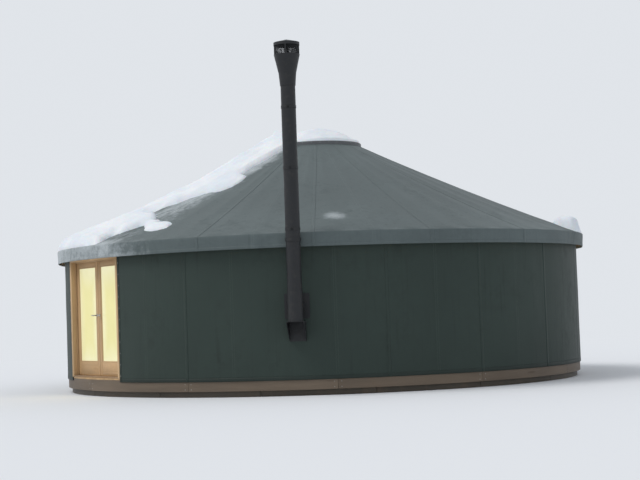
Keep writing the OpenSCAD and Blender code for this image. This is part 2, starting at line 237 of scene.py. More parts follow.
def grow_timber(given):
    """Growth rings and fibres of one board whose length runs along X."""
    vector = given["Vector"]
    drift = put("TexNoise", {"Vector": scaled(vector, (1.2, 6, 6)), "Scale": 1.0, "Detail": 2.0}).outputs["Color"]
    shift = put("VectorMath", {0: drift, "Scale": 0.03}, operation="SCALE").outputs[0]
    bent = put("VectorMath", {0: scaled(vector, (0.1, 1, 1)), 1: shift}, operation="ADD").outputs[0]
    rings = put("TexWave", {"Vector": bent, "Scale": given["Rings"], "Distortion": 2.5, "Detail": 2.0,
                            "Detail Scale": 1.5}, wave_type="RINGS", rings_direction="X",
                wave_profile="SIN").outputs["Fac"]
    fibre = cloud(scaled(vector, (5, 380, 380)), 1.0, 3.0, 0.6)
    broad = cloud(scaled(vector, (0.5, 5, 5)), 1.0, 2.0)
    spots = put("TexVoronoi", {"Vector": scaled(vector, (1.1, 7, 7)), "Scale": 1.0}).outputs[0]
    knot = mul(spread(spots, 0.16, 0.05), given["Knots"])
    grain = add(mul(rings, 0.42), mul(fibre, 0.5), knot, clamp=True)
    shaded = put("HueSaturation", {"Color": mix_colors(grain, given["Light"], given["Dark"]),
                                   "Value": spread(broad, 0.25, 0.75, 0.82, 1.12)}).outputs[0]
    return {"Color": shaded, "Roughness": spread(grain, 0.0, 1.0, 0.48, 0.7),
            "Height": sub(fibre, mul(rings, 0.25))}


def weave_threads(given):
    """Threads of a plain weave over and under each other, with slubs, on a flat (across, along) vector."""
    vector = given["Vector"]
    waves = [calc("SINE", mul(part, given["Threads"], 2 * pi)) for part in split(vector)[:2]]
    slub = add(cloud(scaled(vector, (9, 420, 1)), 1.0, 2.0), cloud(scaled(vector, (420, 9, 1)), 1.0, 2.0))
    return {"Height": add(mul(*waves, 0.25), mul(slub, 0.5)), "Slubs": spread(slub, 0.6, 1.4)}


def weather_color(given):
    """Soft dirt, rain streaks and fading over a colour."""
    vector = given["Vector"]
    large = cloud(vector, 0.9, 5.0, 0.6, 0.4)
    small = cloud(vector, 7.0, 4.0, 0.65)
    streak = cloud(scaled(vector, (16, 16, 0.8)), 1.0, 3.0, 0.6)
    dirt = mul(spread(large, 0.4, 0.75), spread(small, 0.3, 0.7))
    run = mul(spread(streak, 0.52, 0.8), given["Streaks"])
    mask = add(mul(dirt, given["Amount"]), run, clamp=True)
    faded = put("HueSaturation", {"Color": given["Color"],
                                  "Value": spread(cloud(vector, 0.45, 3.0), 0.3, 0.7, 0.88, 1.1)}).outputs[0]
    return {"Color": mix_colors(mask, faded, given["Stain"]), "Mask": mask}


def mottle_metal(given):
    """Fine mottling and scratches of a painted or brushed metal."""
    vector = given["Vector"]
    fine = cloud(vector, 260.0, 3.0, 0.6)
    patches = cloud(vector, 14.0, 4.0, 0.6)
    scratch = cloud(scaled(vector, (500, 500, 9), (0.3, 0.2, 0)), 1.0, 2.0)
    mask = mul(spread(add(patches, mul(scratch, 0.35)), 0.62, 0.95), given["Wear"])
    return {"Color": mix_colors(mask, given["Color"], given["Worn"]),
            "Roughness": add(given["Base"], spread(patches, 0.3, 0.7, -0.08, 0.1)),
            "Height": add(fine, mul(scratch, 0.4))}


def frost_and_painted_moonlight(given):
    """Thin frost and blown snow on the roof's left side, paler there also as painted moonlight that fades out just
    past the door, with one spot beside the flue.
    """
    vector, turn, radius = given["Vector"], given["Turn"], given["Radius"]
    broad = cloud(vector, 1.1, 5.0, 0.65, 0.6)
    fine = cloud(vector, 9.0, 5.0, 0.7)
    grains = cloud(vector, 120.0, 2.0, 0.6)
    # Paler on this side partly as frost and partly as painted moonlight.
    side = calc("MINIMUM", spread(turn, 0.88, 0.1), spread(turn, -2.75, -2.2))
    crown, eave = spread(radius, 3.6, 1.4), spread(radius, 4.45, 4.66)
    reach = mul(side, add(mul(crown, 0.3), add(mul(eave, 0.16), 0.55)))
    patch = add(mul(broad, 0.75), mul(fine, 0.45))
    mask = spread(add(sub(patch, 1.0), reach), 0.02, 0.42)
    beside_flue = tuple(at(radians(61), 4.02, 2.74))
    away = put("VectorMath", {0: vector, 1: beside_flue}, operation="DISTANCE").outputs["Value"]
    spot = mul(spread(add(away, mul(fine, 0.2)), 0.34, 0.12), 0.75)
    return {"Mask": mul(calc("MAXIMUM", mask, spot), spread(grains, 0.3, 0.62, 0.45, 1.0))}


grey = (0.5, 0.5, 0.5, 1)
round_the_yurt = make_group("Round the yurt", place_round)
painted_moonlight_frost = make_group("Frost and painted moonlight", frost_and_painted_moonlight, Turn=0.0, Radius=0.0)
timber = make_group("Timber", grow_timber, Light=(0.6, 0.42, 0.24, 1), Dark=(0.34, 0.2, 0.1, 1), Rings=30.0,
                    Knots=0.3)
weave = make_group("Plain weave", weave_threads, Threads=400.0)
weathering = make_group("Weathering", weather_color, Color=grey, Stain=(0.2, 0.18, 0.14, 1), Amount=0.3,
                        Streaks=0.3)
mottling = make_group("Metal mottling", mottle_metal, Color=grey, Worn=(0.6, 0.6, 0.6, 1), Wear=0.2, Base=0.4)


# Materials

def new_material(name, values=None):
    material = bpy.data.materials.new(name)
    material.use_nodes = True
    shader = fill(material.node_tree.nodes["Principled BSDF"], values or {})
    return material, shader, put("TexCoord", tree=material.node_tree).outputs["Object"]


def coat(shader, color, roughness, height, distance, strength=1.0):
    """Colour, roughness and relief of a material."""
    bump = put("Bump", {"Height": height, "Distance": distance, "Strength": strength}).outputs[0]
    fill(shader, {"Base Color": color, "Roughness": roughness, "Normal": bump})


def wood(name, light, dark, rings=30.0, knots=0.3, grain=None, stain=0.15):
    """Timber on the grain attribute of a board, or on the vector that grain() makes for a whole node."""
    material, shader, place = new_material(name, {"Specular IOR Level": 0.35})
    if grain:
        vector = grain(place)
    else:
        vector = put("Attribute", tree=material.node_tree, attribute_name="grain").outputs["Vector"]
    parts = use(timber, {"Vector": vector, "Light": light, "Dark": dark, "Rings": rings, "Knots": knots})
    aged = use(weathering, {"Vector": place, "Color": parts["Color"], "Stain": (0.16, 0.11, 0.07, 1),
                            "Amount": stain, "Streaks": stain * 0.4})
    coat(shader, aged["Color"], parts["Roughness"], parts["Height"], 0.0006)
    return material


def rafter_grain(place):
    """Grain along each rafter, which falls as it runs out from the crown."""
    where = use(round_the_yurt, {"Vector": place})
    number = calc("ROUND", calc("DIVIDE", where["Turn"], rafter_turn))
    own = own_value(number)
    across = sub(where["Arc"], mul(number, rafter_turn, where["Radius"]))
    up = add(where["Height"], mul(where["Radius"], 0.48))
    return combine(add(where["Radius"], mul(own, 40.0)), add(across, own), add(up, mul(own, 3.0)))


def slat_grain(lean):
    """Grain along the slats of one lattice layer, which lean one way or the other as they rise."""
    def grain(place):
        where = use(round_the_yurt, {"Vector": place})
        rise = sub(where["Height"], floor_top)
        across = sub(where["Arc"], mul(rise, slat_lean * lean))
        number = calc("ROUND", calc("DIVIDE", across, slat_pitch))
        own = own_value(number)
        beside = sub(across, mul(number, slat_pitch))
        return combine(add(mul(rise, 1.37), mul(own, 30.0)), add(beside, own), where["Radius"])
    return grain


def ring_grain(place):
    """Grain round the crown ring, with a stretch of its own in each ply."""
    where = use(round_the_yurt, {"Vector": place})
    own = own_value(calc("FLOOR", calc("DIVIDE", where["Radius"], ply_thick)))
    return combine(add(where["Arc"], mul(own, 9.0)), add(where["Radius"], own), where["Height"])


def make_crown_wood():
    """Bent plies of the crown ring, with the dark glue line between each two."""
    material = wood("crown_laminated", (0.62, 0.43, 0.24, 1), (0.36, 0.22, 0.11, 1), 46.0, 0.0, ring_grain)
    shader = material.node_tree.nodes["Principled BSDF"]
    place = put("TexCoord", tree=material.node_tree).outputs["Object"]
    where = use(round_the_yurt, {"Vector": place})
    share = calc("FRACT", calc("DIVIDE", where["Radius"], ply_thick))
    line = spread(calc("ABSOLUTE", sub(share, 0.5)), 0.44, 0.5)
    color = shader.inputs["Base Color"].links[0].from_socket
    fill(shader, {"Base Color": mix_colors(mul(line, 0.6), color, (0.12, 0.07, 0.04, 1))})
    return material


def cloth(name, color, stain, threads, seams=0, thread_color=(0, 0, 0, 1), streaks=0.25, amount=0.35, roof=False):
    """Coated canvas with its weave, weathering and the stitching beside each lap seam."""
    material, shader, place = new_material(name, {"Specular IOR Level": 0.2, "Sheen Weight": 0.03})
    where = use(round_the_yurt, {"Vector": place})
    along = where["Radius"] if roof else where["Height"]
    fabric = use(weave, {"Vector": combine(where["Arc"], along, 0.0), "Threads": threads})
    aged = use(weathering, {"Vector": place, "Color": color, "Stain": stain, "Amount": amount, "Streaks": streaks})
    tone, height = mix_colors(mul(fabric["Slubs"], 0.18), aged["Color"], stain), fabric["Height"]
    if seams:
        stitch_away, stitch_long = 0.018, 0.009
        share = calc("FRACT", add(mul(where["Turn"], seams / (2 * pi)), 0.5))
        away = calc("ABSOLUTE", mul(sub(share, 0.5), mul(where["Radius"], 2 * pi / seams)))
        row = spread(calc("ABSOLUTE", sub(away, stitch_away)), 0.0016, 0.0006)
        down = sub(mul(along, 0.6), mul(where["Height"], 1.2)) if roof else along
        stitch = mul(row, spread(calc("SINE", mul(down, 2 * pi / stitch_long)), -0.3, 0.2))
        tone = mix_colors(mul(stitch, 0.7), tone, thread_color)
        height = add(height, mul(stitch, 0.8))
    if roof:
        # Frost mixed into the roof colour, partly painted moonlight on the roof's left side.
        frost_and_painted_light = use(painted_moonlight_frost, {"Vector": place, "Turn": where["Turn"], "Radius": where["Radius"]})["Mask"]
        tone = mix_colors(mul(frost_and_painted_light, 0.8), tone, (0.6, 0.65, 0.68, 1))
        height = add(height, mul(frost_and_painted_light, 1.5))
    coat(shader, tone, spread(aged["Mask"], 0.0, 0.6, 0.58, 0.82), height, 0.0006, 0.7)
    return material


def metal(name, color, worn, base, wear, metallic=1.0):
    material, shader, place = new_material(name, {"Metallic": metallic})
    parts = use(mottling, {"Vector": place, "Color": color, "Worn": worn, "Wear": wear, "Base": base})
    coat(shader, parts["Color"], parts["Roughness"], parts["Height"], 0.0002)
    return material


def make_glass():
    """Door glass with a painted glow, an emission that stands in for the light from inside: a warm middle that
    pales towards the frame.
    """
    material, shader, place = new_material("painted_glow_door_glass", {
        "Roughness": 0.12, "IOR": 1.5, "Transmission Weight": 0.4, "Emission Strength": 0.44})
    pane_x, pane_z = 0.439, 1.3
    x, _, z = split(place)
    across = calc("ABSOLUTE", sub(calc("ABSOLUTE", x), pane_x))
    # Painted light: the glow pales towards the frame, more or less as the haze varies.
    edge = calc("MAXIMUM", spread(across, 0.1, 0.36), spread(calc("ABSOLUTE", sub(z, pane_z)), 0.35, 0.85))
    haze = cloud(place, 2.5, 3.0)
    share = mul(edge, spread(haze, 0.3, 0.6, 0.75, 1.0))
    smear = spread(cloud(scaled(place, (3, 3, 0.8)), 2.0, 4.0), 0.35, 0.75, 0.06, 0.22)
    fill(shader, {"Base Color": mix_colors(haze, (0.42, 0.4, 0.24, 1), (0.5, 0.48, 0.32, 1)), "Roughness": smear,
                  "Emission Color": mix_colors(share, (0.84, 0.8, 0.32, 1), (0.98, 0.97, 0.66, 1))})
    return material


def make_acrylic():
    material, shader, place = new_material("skylight_acrylic", {
        "IOR": 1.49, "Transmission Weight": 0.85, "Metallic": 0.0})
    haze = cloud(place, 5.0, 4.0, 0.6)
    fill(shader, {"Base Color": mix_colors(haze, (0.86, 0.9, 0.9, 1), (0.95, 0.97, 0.97, 1)),
                  "Roughness": spread(haze, 0.3, 0.7, 0.06, 0.2)})
    return material


def make_snow():
    material, shader, place = new_material("settled_snow", {
        "Specular IOR Level": 0.25, "Subsurface Weight": 0.12, "Subsurface Scale": 0.03})
    drift = cloud(place, 1.6, 4.0, 0.6)
    grains = cloud(place, 170.0, 3.0, 0.7)
    crust = cloud(place, 16.0, 5.0, 0.65)
    color = mix_colors(spread(drift, 0.3, 0.7), (0.74, 0.79, 0.85, 1), (0.86, 0.88, 0.9, 1))
    coat(shader, color, spread(crust, 0.3, 0.7, 0.6, 0.85), add(crust, mul(grains, 0.1)), 0.02, 0.6)
    return material


pale_ash, dark_ash = (0.7, 0.53, 0.33, 1), (0.47, 0.31, 0.17, 1)
board_wood = wood("joinery_pine", (0.66, 0.47, 0.27, 1), (0.42, 0.26, 0.13, 1), 26.0, 0.35)
door_wood = wood("door_pine", (0.64, 0.44, 0.24, 1), (0.38, 0.22, 0.1, 1), 30.0, 0.15)
floor_wood = wood("floor_planks", (0.6, 0.41, 0.22, 1), (0.36, 0.21, 0.1, 1), 24.0, 0.5, stain=0.25)
sill_wood = wood("sill_oak", (0.36, 0.25, 0.15, 1), (0.19, 0.12, 0.07, 1), 34.0, 0.1, stain=0.3)
rim_wood = wood("rim_larch", (0.2, 0.155, 0.112, 1), (0.1, 0.075, 0.054, 1), 30.0, 0.4, stain=0.45)
foot_wood = wood("treated_foot", (0.1, 0.085, 0.065, 1), (0.05, 0.043, 0.034, 1), 26.0, 0.2, stain=0.5)
rafter_wood = wood("rafter_fir", (0.68, 0.49, 0.29, 1), (0.44, 0.28, 0.14, 1), 26.0, 0.3, rafter_grain)
outer_slat_wood = wood("outer_slat_ash", pale_ash, dark_ash, 36.0, 0.1, slat_grain(1))
inner_slat_wood = wood("inner_slat_ash", pale_ash, dark_ash, 36.0, 0.1, slat_grain(-1))
crown_wood = make_crown_wood()
wall_cloth = cloth("wall_canvas_green", (0.034, 0.051, 0.044, 1), (0.022, 0.028, 0.025, 1), 330.0, wall_seam_count,
                   (0.13, 0.16, 0.14, 1))
roof_cloth = cloth("roof_canvas_slate", (0.112, 0.14, 0.142, 1), (0.06, 0.073, 0.075, 1), 330.0, roof_seam_count,
                   (0.25, 0.28, 0.28, 1), roof=True)
liner_cloth = cloth("liner_felt", (0.68, 0.63, 0.53, 1), (0.46, 0.4, 0.31, 1), 220.0, streaks=0.05, amount=0.15)
band_cloth = cloth("binding_webbing", (0.026, 0.038, 0.033, 1), (0.018, 0.022, 0.02, 1), 260.0)
black_steel = metal("stove_black_steel", (0.014, 0.0155, 0.018, 1), (0.05, 0.047, 0.044, 1), 0.5, 0.4, 0.25)
bare_steel = metal("zinc_plated_steel", (0.52, 0.53, 0.54, 1), (0.34, 0.34, 0.33, 1), 0.38, 0.3)
hinge_steel = metal("hinge_steel", (0.4, 0.4, 0.4, 1), (0.26, 0.25, 0.24, 1), 0.34, 0.3)
flashing_metal = metal("flashing_grey_metal", (0.11, 0.116, 0.122, 1), (0.22, 0.23, 0.235, 1), 0.5, 0.4, 0.6)
lever_metal = metal("lever_satin_metal", (0.46, 0.45, 0.43, 1), (0.3, 0.29, 0.27, 1), 0.28, 0.3)
painted_glow_glass = make_glass()
acrylic = make_acrylic()
snow = make_snow()


# Making pieces

def new_mesh(grain=False):
    bm = bmesh.new()
    if grain:
        bm.verts.layers.float_vector.new("grain")
    return bm


def piece(name, bm, *materials, body="yurt", closed=True, sharp=38, stands_for=()):
    """Turns a bmesh into a finished object that moves with a body and may stand for CAD nodes."""
    if closed:
        bmesh.ops.recalc_face_normals(bm, faces=bm.faces)
    mesh = bpy.data.meshes.new(name)
    bm.to_mesh(mesh)
    bm.free()
    mesh.shade_smooth()
    mesh.set_sharp_from_angle(angle=radians(sharp))
    for material in materials:
        mesh.materials.append(material)
    made = bpy.data.objects.new(name, mesh)
    bpy.context.scene.collection.objects.link(made)
    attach(made, body)
    if stands_for:
        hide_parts(*stands_for)
    return made


def cloth_piece(name, bm, thickness, *materials, stands_for=()):
    """A sheet with its thickness on the inner side, which shows the last of its materials."""
    made = piece(name, bm, *materials, closed=False, sharp=60, stands_for=stands_for)
    solid = made.modifiers.new("Thickness", "SOLIDIFY")
    solid.thickness = thickness
    solid.offset = -1
    solid.use_even_offset = True
    solid.material_offset = len(materials) - 1
    return made


def edges_of(verts):
    return list({edge for vert in verts for edge in vert.link_edges})


def ease_edges(bm, edges, offset, segments=1):
    bmesh.ops.bevel(bm, geom=edges, offset=offset, offset_type="OFFSET", affect="EDGES", segments=segments,
                    profile=0.5, material=-1)


def block(bm, size, place):
    return bmesh.ops.create_cube(bm, size=1, matrix=place @ Matrix.Diagonal((*size, 1)))["verts"]


def full_turn(bm, line, edges, steps):
    """Turns a line of points round the Z axis into a closed skin."""
    bmesh.ops.spin(bm, geom=line + edges, cent=(0, 0, 0), axis=(0, 0, 1), angle=2 * pi, steps=steps, use_merge=True,
                   use_duplicate=False)


def board(bm, low, high, along, ease=0.003, segments=2):
    """One board between two corners, with eased edges and a stretch of grain of its own."""
    low, high = Vector(map(min, low, high)), Vector(map(max, low, high))
    middle = (low + high) / 2
    old = set(bm.verts)
    ease_edges(bm, edges_of(block(bm, high - low, Matrix.Translation(middle))), ease, segments)
    verts = [vert for vert in bm.verts if vert not in old]
    layer = bm.verts.layers.float_vector["grain"]
    first = "xyz".index(along)
    shift = Vector((dice.uniform(0, 60), dice.uniform(-0.06, 0.06), dice.uniform(0.02, 0.12)))
    for vert in verts:
        local = vert.co - middle
        vert[layer] = Vector([local[(first + step) % 3] for step in range(3)]) + shift
    return verts


def ring_of_boards(bm, inner, outer, low, high, count, gap=0.003, steps=8):
    """Boards bent round the yurt, end to end, by spinning one end face for each."""
    layer = bm.verts.layers.float_vector["grain"]
    for number in range(count):
        old = set(bm.verts)
        start = 2 * pi * number / count + gap / outer / 2
        corners = ((inner, low), (outer, low), (outer, high), (inner, high))
        end = bm.faces.new([bm.verts.new(at(start, radius, z)) for radius, z in corners])
        bmesh.ops.spin(bm, geom=[end], cent=(0, 0, 0), axis=(0, 0, 1),
                       angle=2 * pi / count - gap / outer, steps=steps, use_duplicate=False)
        verts = [vert for vert in bm.verts if vert not in old]
        sharp = [edge for edge in edges_of(verts) if edge.is_manifold and edge.calc_face_angle() > 0.8]
        ease_edges(bm, sharp, 0.003)
        shift = Vector((dice.uniform(0, 60), dice.uniform(-0.1, 0.1), dice.uniform(0.02, 0.1)))
        for vert in [vert for vert in bm.verts if vert not in old]:
            turn, radius = atan2(vert.co.x, -vert.co.y), hypot(vert.co.x, vert.co.y)
            vert[layer] = Vector((turn * outer, radius - inner, vert.co.z)) + shift


def screw(bm, point, out, radius=0.005, segments=10):
    """A pan head, with the flat of its drive pressed in."""
    out = Vector(out)
    made = bmesh.ops.create_cone(
        bm, cap_ends=True, segments=segments, radius1=radius, radius2=radius * 0.7, depth=radius * 0.5,
        matrix=Matrix.Translation(Vector(point)) @ out.to_track_quat("Z", "Y").to_matrix().to_4x4())
    top = max({face for vert in made["verts"] for face in vert.link_faces},
              key=lambda face: face.calc_center_median().dot(out))
    if segments > 8:
        bmesh.ops.inset_individual(bm, faces=[top], thickness=radius * 0.28, depth=0)
        bmesh.ops.translate(bm, verts=top.verts, vec=-out * radius * 0.18)


def lay(bm, surface, columns, rows):
    """Adds a grid that faces outwards, on a surface that gives the point for a share round and a share along."""
    verts = bmesh.ops.create_grid(bm, x_segments=columns, y_segments=rows, size=1)["verts"]
    for vert in verts:
        vert.co = surface((vert.co.x + 1) / 2, (vert.co.y + 1) / 2)
    faces = list({face for vert in verts for face in vert.link_faces})
    for face in faces:
        face.normal_update()
    middle, normal = max(((face.calc_center_median(), face.normal) for face in faces),
                         key=lambda found: found[0].xy.length)
    if normal.dot(Vector((*middle.xy, 0.5))) < 0:
        bmesh.ops.reverse_faces(bm, faces=faces)


def laid(surface, columns, rows, wrap=False):
    """A new mesh with one such grid, joined to itself where it wraps round the yurt."""
    bm = new_mesh()
    lay(bm, surface, columns, rows)
    if wrap:
        bmesh.ops.remove_doubles(bm, verts=bm.verts, dist=1e-5)
    return bm


# Wall cover

def wall_point(turn, z, out=0.0):
    """The canvas's outer face, with soft hanging folds that lie flat beside the flue."""
    shallow, drawn, deepest = 0.0042, 0.0026, 0.0098

    def fold(rise, size, seed=0.0):
        return rough(round_way(turn, wall_r) + Vector((0, 0, z * rise)), size, seed)

    folds, drag = fold(0.25, 0.55) + 0.6 * fold(0.4, 0.21, 3), fold(1.1, 0.8, 9)
    calm = smooth(min(abs(turn - flue_turn), 1), 0.035, 0.09)
    depth = (shallow * (1 + folds) + drawn * (1 + drag)) * calm
    return at(turn, wall_r - 0.0008 - min(max(depth, 0), deepest) + out, z)


def wall_surface(low, high, first, last, out=0.0):
    """A stretch of that face between two heights and two angles, raised by a distance."""
    return lambda across, along: wall_point(first + (last - first) * across, low + (high - low) * along, out)


def make_wall():
    first, last = door_turn, 2 * pi - door_turn
    hole, snap = 0.145, 0.034
    middle = Vector((flue_turn * wall_r, flue_level))

    def from_hole(point):
        return Vector((atan2(point.x, -point.y) * wall_r, point.z)) - middle

    bm = laid(wall_surface(wall_low, wall_high, first, last), 560, 26)
    for vert in bm.verts:
        away = from_hole(vert.co)
        if abs(away.length - hole) < snap:
            snapped = middle + away.normalized() * hole
            vert.co = wall_point(snapped.x / wall_r, snapped.y)
    gone = [face for face in bm.faces if from_hole(face.calc_center_median()).length < hole * 0.98]
    bmesh.ops.delete(bm, geom=gone, context="FACES")
    canvas = cloth_piece("wall_canvas", bm, 0.009, wall_cloth, liner_cloth,
                         stands_for=[f"wall_cover_{number}" for number in range(1, 9)])
    seams, half = new_mesh(), 0.025 / wall_r
    for turn in turns(wall_seam_count):
        if abs(turn - flue_turn) >= 0.06 and min(turn, 2 * pi - turn) >= door_turn + 0.05:
            lay(seams, wall_surface(wall_low + 0.001, wall_high - 0.001, turn - half, turn + half, 0.0017), 3, 26)
    strips = cloth_piece("wall_seams", seams, 0.0022, wall_cloth)
    hem = laid(wall_surface(wall_low - 0.0005, wall_low + 0.0545, first, last, 0.0016), 560, 3)
    binding = cloth_piece("wall_hem", hem, 0.002, band_cloth)
    straps, studs = make_door_straps()


def make_door_straps():
    """A webbing binding on each door edge of the canvas, held to the frame by a row of snap studs."""
    webbing, studs = new_mesh(), new_mesh()
    wide, gap, stud_step = 0.05 / wall_r, 0.0002, 0.18
    for first, last in ((door_turn + gap, door_turn + wide), (2 * pi - door_turn - wide, 2 * pi - door_turn - gap)):
        lay(webbing, wall_surface(wall_low + 0.002, wall_high - 0.002, first, last, 0.0018), 4, 30)
        middle = (first + last) / 2
        for step in range(11):
            point = wall_point(middle, wall_low + 0.1 + step * stud_step, 0.0022)
            screw(studs, point, at(middle, 1, 0), 0.0075, 12)
    straps = cloth_piece("door_edge_webbing", webbing, 0.0024, band_cloth)
    return straps, piece("door_edge_studs", studs, bare_steel)


# Roof cover

def hem_wave(turn, down):
    """How far the hanging hem swings in at a share of its drop. It lies flat at the flue's stay."""
    calm = smooth(abs(turn - flue_turn), 0.03, 0.08)
    where = round_way(turn, eave_r)
    wave = 0.5 + 0.3 * sin(24 * turn + 1.3 * rough(where, 1.1)) + 0.4 * rough(where, 0.17, 5)
    return 0.022 * smooth(down, 0, 1.1) * max(wave, 0) * calm


def roof_sag(turn, radius):
    """The canvas hangs a little between the rafters and creases softly over them."""
    between = abs(sin(pi * turn / rafter_turn)) ** 1.2
    pull = 0.0016 * (1 + rough(round_way(turn, radius), 0.4, 2))
    sag = 0.010 * between * smooth(radius, ring_r + 0.05, ring_r + 0.8) * (1 - 0.45 * smooth(radius, 4.2, 4.66))
    return sag + pull * smooth(radius, ring_r + 0.02, ring_r + 0.3)


def roof_rows():
    """Points down the roof's outer face: radius, height and how far down the hem each lies."""
    turn_in, slope_rows, hem_rows = 0.014, 34, 8
    crown = ring_r + 0.004
    rows = [(crown + (eave_r - turn_in - crown) * step / slope_rows, None, 0.0) for step in range(slope_rows + 1)]
    top = roof_z(eave_r) - 0.001
    for step in range(1, 4):
        swing = step * pi / 8
        rows.append((eave_r - turn_in + turn_in * sin(swing) * 0.98, top - turn_in + turn_in * cos(swing), 0.0))
    drop = top - turn_in - hem_low
    for step in range(1, hem_rows + 1):
        rows.append((eave_r - 0.0006, top - turn_in - drop * step / hem_rows, step / hem_rows))
    return rows


roof_list = roof_rows()


def roof_rows_at(place):
    """The share of the way between two rows at a place down their list, and both rows."""
    first = min(int(place), len(roof_list) - 2)
    return place - first, roof_list[first], roof_list[first + 1]


def roof_point(turn, place, out=0.0):
    """The roof canvas's outer face at a place down its list of rows, raised by a distance outwards."""
    share, (r0, z0, d0), (r1, z1, d1) = roof_rows_at(place)
    radius = r0 + (r1 - r0) * share
    down = d0 + (d1 - d0) * share
    if z1 is None:
        z = roof_z(radius) - roof_sag(turn, radius)
    else:
        z0 = roof_z(r0) - roof_sag(turn, r0) if z0 is None else z0
        z = z0 + (z1 - z0) * share
    if down <= 0:
        return at(turn, radius + out * 0.45, z + out)
    return at(turn, radius + out - hem_wave(turn, down), z)


def roof_radius(place):
    share, (r0, _, _), (r1, _, _) = roof_rows_at(place)
    return r0 * (1 - share) + r1 * share


def make_roof():
    rows = len(roof_list) - 1
    bm = laid(lambda across, along: roof_point(2 * pi * across, rows * along), 384, rows, wrap=True)
    canvas = cloth_piece("roof_canvas", bm, 0.006, roof_cloth, liner_cloth,
                         stands_for=[f"roof_cover_{number}" for number in range(1, 9)])
    seams, half, first, edge_rows = new_mesh(), 0.026, 0.6, 1.9

    def seam(turn):
        def skin(across, along):
            place = first + (rows - 0.2 - first) * along
            return roof_point(turn + (2 * across - 1) * half / max(roof_radius(place), 0.8), place, 0.0022)
        return skin

    for turn in turns(roof_seam_count):
        lay(seams, seam(turn), 4, 88)
    strips = cloth_piece("roof_seams", seams, 0.0026, roof_cloth)
    hem = laid(lambda across, along: roof_point(2 * pi * across, rows - edge_rows + edge_rows * along, 0.0014),
               384, 4, wrap=True)
    binding = cloth_piece("roof_hem", hem, 0.0024, roof_cloth)


# Snow that lies on the roof

def snow_at(turn, radius):
    """How surely snow lies at a place on the roof, above 0 where it does, and how deep it is there.

    The bounds of its drifts are in degrees round from the door and in metres out from the axis.
    """
    angle = degrees(turn)
    where = at(turn, radius, 0)
    lumps = 0.5 * rough(where, 0.8, 4) + 0.3 * rough(where, 0.33, 8) + 0.17 * rough(where, 0.13, 12)
    stray = 9 * rough(where, 0.9, 1) + 4 * rough(where, 0.3, 2)
    last = 21 - 22 * span(radius, 2.9, 3.7, 0.45) - 13 * smooth(radius, 3.6, 4.2) + stray
    side = smooth(angle, -142 + stray, -118 + stray) * (1 - smooth(angle, last - 7, last + 5))
    patch = span(angle, 15, 22, 4) * span(radius, 3.9, 4.25, 0.16)
    ridge = span(angle, 127 + 0.5 * stray, 147 + 0.5 * stray, 4) * span(radius, 4.27 + 0.12 * lumps, 5, 0.3)
    cover = max(1.5 * side - 0.62 + 0.55 * lumps, 1.1 * patch - 0.55 + 0.35 * lumps,
                1.3 * ridge - 0.5 + 0.3 * lumps)
    ends = (1 - smooth(radius, eave_r - 0.1, eave_r - 0.015)) * smooth(radius, 0.46, 0.8)
    weather = smooth(-angle, -26, 18)
    deep = 0.08 + weather * (0.06 + 0.12 * (1 - smooth(radius, 0.9, 2.5)) + 0.04 * smooth(radius, 3.3, 4.2))
    deep = max(deep * (0.55 + 0.45 * smooth(cover, 0.1, 0.75)), 0.24 * ridge)
    round_edge = sqrt(max(1 - (1 - min(max(cover, 0) / 0.34, 1)) ** 2, 0))
    return cover, round_edge * ends * deep * (1 + 0.24 * rough(where, 0.7, 6) + 0.14 * rough(where, 0.2, 2))


def dome_shell(radius):
    """Height of the skylight's outer face at a radius."""
    rise = dome_high.z - dome_low.z
    ball = (dome_rim ** 2 + rise ** 2) / (2 * rise)
    return dome_high.z - ball + sqrt(ball ** 2 - min(radius, dome_rim) ** 2)


# Radius and height, from the top of the dome's snow down to its foot
dome_snow_line = [
    (0.0, dome_high.z + 0.066), (0.2, dome_shell(0.2) + 0.068), (0.38, dome_shell(0.38) + 0.067),
    (0.52, dome_shell(0.52) + 0.062), (0.63, dome_shell(0.63) + 0.058), (0.69, dome_low.z + 0.079),
    (0.735, dome_low.z + 0.062), (0.768, dome_low.z + 0.035), (0.784, dome_low.z + 0.006),
    (0.788, dome_low.z - 0.014), (0.776, dome_low.z - 0.0005)]


def snow_bed(turn, radius):
    """What the blanket lies on: the canvas, and near the crown the snow of the dome."""
    canvas = roof_z(max(radius, ring_r)) - roof_sag(turn, radius) - 0.0045
    for (r0, z0), (r1, z1) in zip(dome_snow_line, dome_snow_line[1:-1]):
        if r0 <= radius <= r1:
            return max(canvas, z0 + (z1 - z0) * (radius - r0) / (r1 - r0) - 0.012)
    return canvas


def make_roof_snow(name, first, last, columns, rows):
    """One blanket: a grid cut back to the line where snow ends, then raised, with its rim just under the canvas."""
    inner, outer = 0.48, eave_r - 0.012

    def under(across, along):
        turn, radius = radians(first + (last - first) * across), inner + (outer - inner) * along
        return at(turn, radius, snow_bed(turn, radius))

    bm = laid(under, columns, rows)
    depth = bm.verts.layers.float.new("depth")
    sure = {}
    for vert in bm.verts:
        sure[vert], vert[depth] = snow_at(atan2(vert.co.x, -vert.co.y), vert.co.xy.length)
    bare = [face for face in bm.faces if all(sure[vert] <= 0 for vert in face.verts)]
    bmesh.ops.delete(bm, geom=bare, context="FACES")
    bmesh.ops.delete(bm, geom=[vert for vert in bm.verts if not vert.link_faces], context="VERTS")
    moved = {}
    for vert in bm.verts:
        if sure[vert] <= 0:
            ends = [vert.co.lerp(other.co, sure[vert] / (sure[vert] - sure[other]) * 0.98)
                    for other in (edge.other_vert(vert) for edge in vert.link_edges) if sure[other] > 0]
            if ends:
                moved[vert] = sum(ends, Vector()) / len(ends)
    for vert, place in moved.items():
        vert.co = place
    lifted = bmesh.ops.extrude_face_region(bm, geom=bm.faces[:], use_keep_orig=True)["geom"]
    for vert in [item for item in lifted if isinstance(item, bmesh.types.BMVert)]:
        vert.co.z += 0.0012 + (0 if sure.get(vert, 1) <= 0 else vert[depth])
    piece(name, bm, snow, sharp=70)


